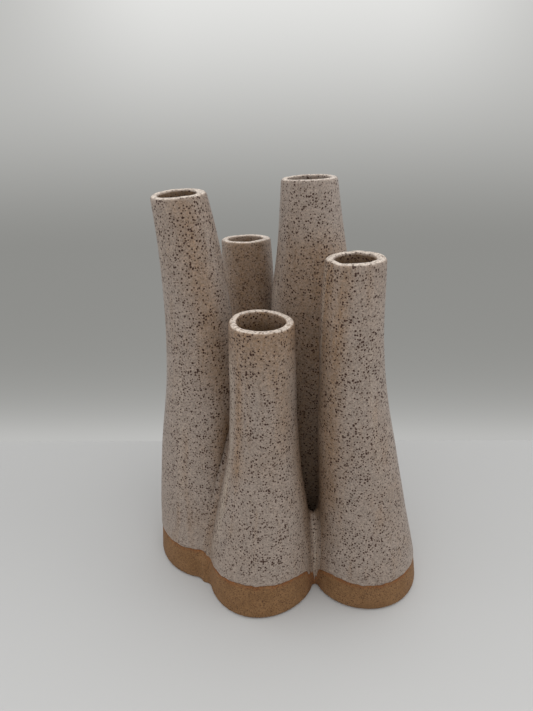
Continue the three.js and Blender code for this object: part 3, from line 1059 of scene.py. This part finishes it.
def clay_material():
    """Bare toasted stoneware: fine dark specks and grain, and a redder edge next to the glaze."""
    material, graph = new_material("bare_stoneware")
    place, stirred = millimetres(graph)
    cloud = graph.noise(place, 11, 2.0)
    dark, _ = graph.specks(stirred, 1.1, 0.17, 0.44, 0.7, cloud)
    pale, _ = graph.specks(stirred, 1.5, 0.14, 0.34, 0.5, cloud)
    colour = graph.mix(graph.ramp(cloud, 0.3, 0.7), linear(CLAY), linear(LIGHT_CLAY))
    toast = graph.ramp(graph.attribute("below"), 0, 4.5, 1.0, 0.0)
    toast = graph.times(toast, graph.ramp(graph.noise(place, 4, 2.0), 0.3, 0.65, 0.3, 1.0))
    toast = graph.plus(toast, graph.attribute("crease"), clamp=True)
    colour = graph.tint(colour, toast, 0.75, TOASTED_CLAY)
    grain = graph.ramp(graph.noise(place, 1.1, 4.0, 0.7), 0.32, 0.68, 0.62, 1.34, even=False)
    colour = graph.grade(colour, grain)
    colour = graph.tint(colour, pale, 0.45, PALE_GRAIN)
    colour = graph.tint(colour, dark, 0.8, DARK_GRAIN)
    roughness = graph.ramp(grain, 0.62, 1.34, 0.78, 0.9)
    wide = graph.add("Mapping", {"Vector": place, "Scale": (0.12, 0.12, 1)}).outputs[0]
    height = graph.times(graph.noise(wide, 0.9, 2.0), 0.06)
    height = graph.plus(height, graph.times(graph.noise(place, 0.4, 3.0), 0.1))
    height = graph.math("SUBTRACT", height, graph.times(dark, 0.05))
    finish_surface(graph, colour, roughness, height, 0.8, 0.3)
    return material


def staged(name, corners, material):
    """A flat sheet of the set, which isn't part of the vase."""
    piece = smooth_object(name, corners, [(0, 1, 2, 3)], material)
    return piece


# The set, in metres: the floor, and an upright backdrop behind the vase that has one visible side
FLOOR_REACH = 2.2
WALL_Y = 0.107
WALL_SKEW = 0.024
WALL_TOP = 0.42
WALL_HALF_WIDTH = 0.33

# The backdrop's painted light and shade, in metres: the heights over which its glow gets pale, where painted
# shade darkens its upper corners and the middle they are counted from, and how its pale foot fades with
# height
TOP_GLOW = (0.177, 0.398)
CORNER_SIDE = (0.07, 0.22)
CORNER_HEIGHT = (0.2, 0.38)
CORNER_MIDDLE = 0.008
FOOT_START = 0.02
FOOT_FADE = 0.031


def floor_material():
    """Pale grey paper, with painted shade that makes it a little darker towards the back."""
    material, graph = new_material("floor")
    place = graph.add("TexCoord").outputs["Object"]
    tone = graph.mix(graph.noise(place, 0.35, 2.0), linear((190, 190, 188)), linear((194, 194, 192)))
    # Painted shade: the floor darkens towards the backdrop
    far = graph.ramp(graph.add("SeparateXYZ", {0: place}).outputs["Y"], -0.2, WALL_Y)
    tone = graph.mix(far, tone, linear((178, 178, 176)))
    shader = graph.add("BsdfPrincipled", {"Base Color": tone, "Roughness": 0.7, "Specular IOR Level": 0.2})
    graph.finish(shader.outputs[0])
    return material


def backdrop_material():
    """Grey paper whose light and shade are painted into a glow, palest near the floor and at the top, and
    clear from behind.
    """
    material, graph = new_material("backdrop")
    place = graph.add("SeparateXYZ", {0: graph.add("TexCoord").outputs["Object"]})
    height = place.outputs["Z"]
    rise = graph.ramp(height, *TOP_GLOW)
    side = graph.math("ABSOLUTE", graph.math("SUBTRACT", place.outputs["X"], CORNER_MIDDLE))
    # Painted shade in the backdrop's upper corners
    corner = graph.times(graph.ramp(side, *CORNER_SIDE), graph.ramp(height, *CORNER_HEIGHT, 0, 0.6))
    rise = graph.times(rise, graph.math("SUBTRACT", 1.0, corner))
    fall = graph.math("DIVIDE", graph.times(height, height), graph.plus(height, FOOT_START))
    foot = graph.math("EXPONENT", graph.times(fall, -1 / FOOT_FADE))
    tone = graph.mix(rise, linear((141, 141, 138)), linear((238, 238, 236)))
    foot = graph.times(foot, graph.ramp(place.outputs["X"], -0.1, 0.15, 1.0, 0.93))
    tone = graph.mix(foot, tone, linear((188, 188, 186)))
    # A glow that paints the backdrop's light and shade; it is no lamp and lights nothing
    glow = graph.add("Emission", {"Color": tone}).outputs[0]
    clear = graph.add("BsdfTransparent").outputs[0]
    behind = graph.add("NewGeometry").outputs["Backfacing"]
    seen = graph.add("MixShader", {0: behind, 1: glow, 2: clear}).outputs[0]
    graph.finish(seen)
    return material


def stage():
    """A pale floor and the backdrop."""
    reach = FLOOR_REACH
    corners = [(-reach, -reach, 0), (reach, -reach, 0), (reach, reach, 0), (-reach, reach, 0)]
    staged("floor", corners, floor_material())
    side = WALL_HALF_WIDTH
    ends = [(-side, WALL_Y + side * WALL_SKEW), (side, WALL_Y - side * WALL_SKEW)]
    corners = [(*end, 0) for end in ends] + [(*end, WALL_TOP) for end in reversed(ends)]
    backdrop = staged("backdrop", corners, backdrop_material())
    for kind in ("diffuse", "glossy", "transmission", "shadow"):
        setattr(backdrop, "visible_" + kind, False)


# Soft boxes as name, place, size and power, the point they face, and the strength of the light all round
LAMPS = (
    ("overhead", (0.18, 0.05, 1.4), 1.1, 4.3),
    ("front_fill", (0.0, -1.05, 1.1), 1.6, 5.2),
    ("left_side", (-1.1, 0.2, 0.5), 0.9, 2.0),
    ("right_side", (1.1, 0.0, 0.5), 0.9, 2.5),
)
LAMP_AIM = (0, 0, 0.1)
WORLD_STRENGTH = 0.78


def lights():
    """Light all round that the camera sees as grey paper, and the soft boxes."""
    world = bpy.data.worlds.new("studio")
    scene.world = world
    world.use_nodes = True
    world.node_tree.nodes.clear()
    graph = Graph(world.node_tree)
    seen = graph.add("LightPath").outputs["Is Camera Ray"]
    light = graph.add("Background", {"Color": linear((250, 250, 252)), "Strength": WORLD_STRENGTH}).outputs[0]
    back = graph.add("Background", {"Color": linear((196, 196, 194)), "Strength": 1.0}).outputs[0]
    shown = graph.add("MixShader", {0: seen, 1: light, 2: back}).outputs[0]
    graph.finish(shown, "OutputWorld")
    for name, place, size, power in LAMPS:
        lamp = bpy.data.lights.new(name, "AREA")
        lamp.size = size
        lamp.energy = power
        light = new_object(name, lamp)
        light.location = place
        light.visible_camera = False
        aim = Vector(LAMP_AIM) - Vector(place)
        light.rotation_mode = "QUATERNION"
        light.rotation_quaternion = aim.to_track_quat("-Z", "Y")


# The viewpoint: its place in metres, how far it looks down and rolls in degrees, its focal length in pixels
# for a picture with this long side, and a sensor width in millimetres
CAMERA_PLACE = (-0.0094, -0.3036, 0.2875)
CAMERA_PITCH = 25.94
CAMERA_ROLL = -0.96
FOCAL_PIXELS = 536.2
LONG_SIDE = 711
SENSOR = 36


def camera():
    """The photograph's viewpoint, with the slight roll of a camera held in the hand."""
    data = bpy.data.cameras.new("camera")
    data.sensor_width = SENSOR
    data.lens = FOCAL_PIXELS / LONG_SIDE * SENSOR
    data.clip_start, data.clip_end = 0.01, 10
    pitch, roll = np.radians(90 - CAMERA_PITCH), np.radians(CAMERA_ROLL)
    turn = Matrix.Rotation(pitch, 4, "X") @ Matrix.Rotation(roll, 4, "Z")
    scene.camera = new_object("camera", data)
    scene.camera.matrix_world = Matrix.Translation(CAMERA_PLACE) @ turn


glaze, clay = glaze_material(), clay_material()
for bottle_name in BOTTLES:
    bottle_pieces(bottle_name, glaze, clay)
for joint_name in JOINTS:
    joint_pieces(joint_name, glaze, clay)
stage()
lights()
camera()
scene.view_settings.view_transform = "Standard"
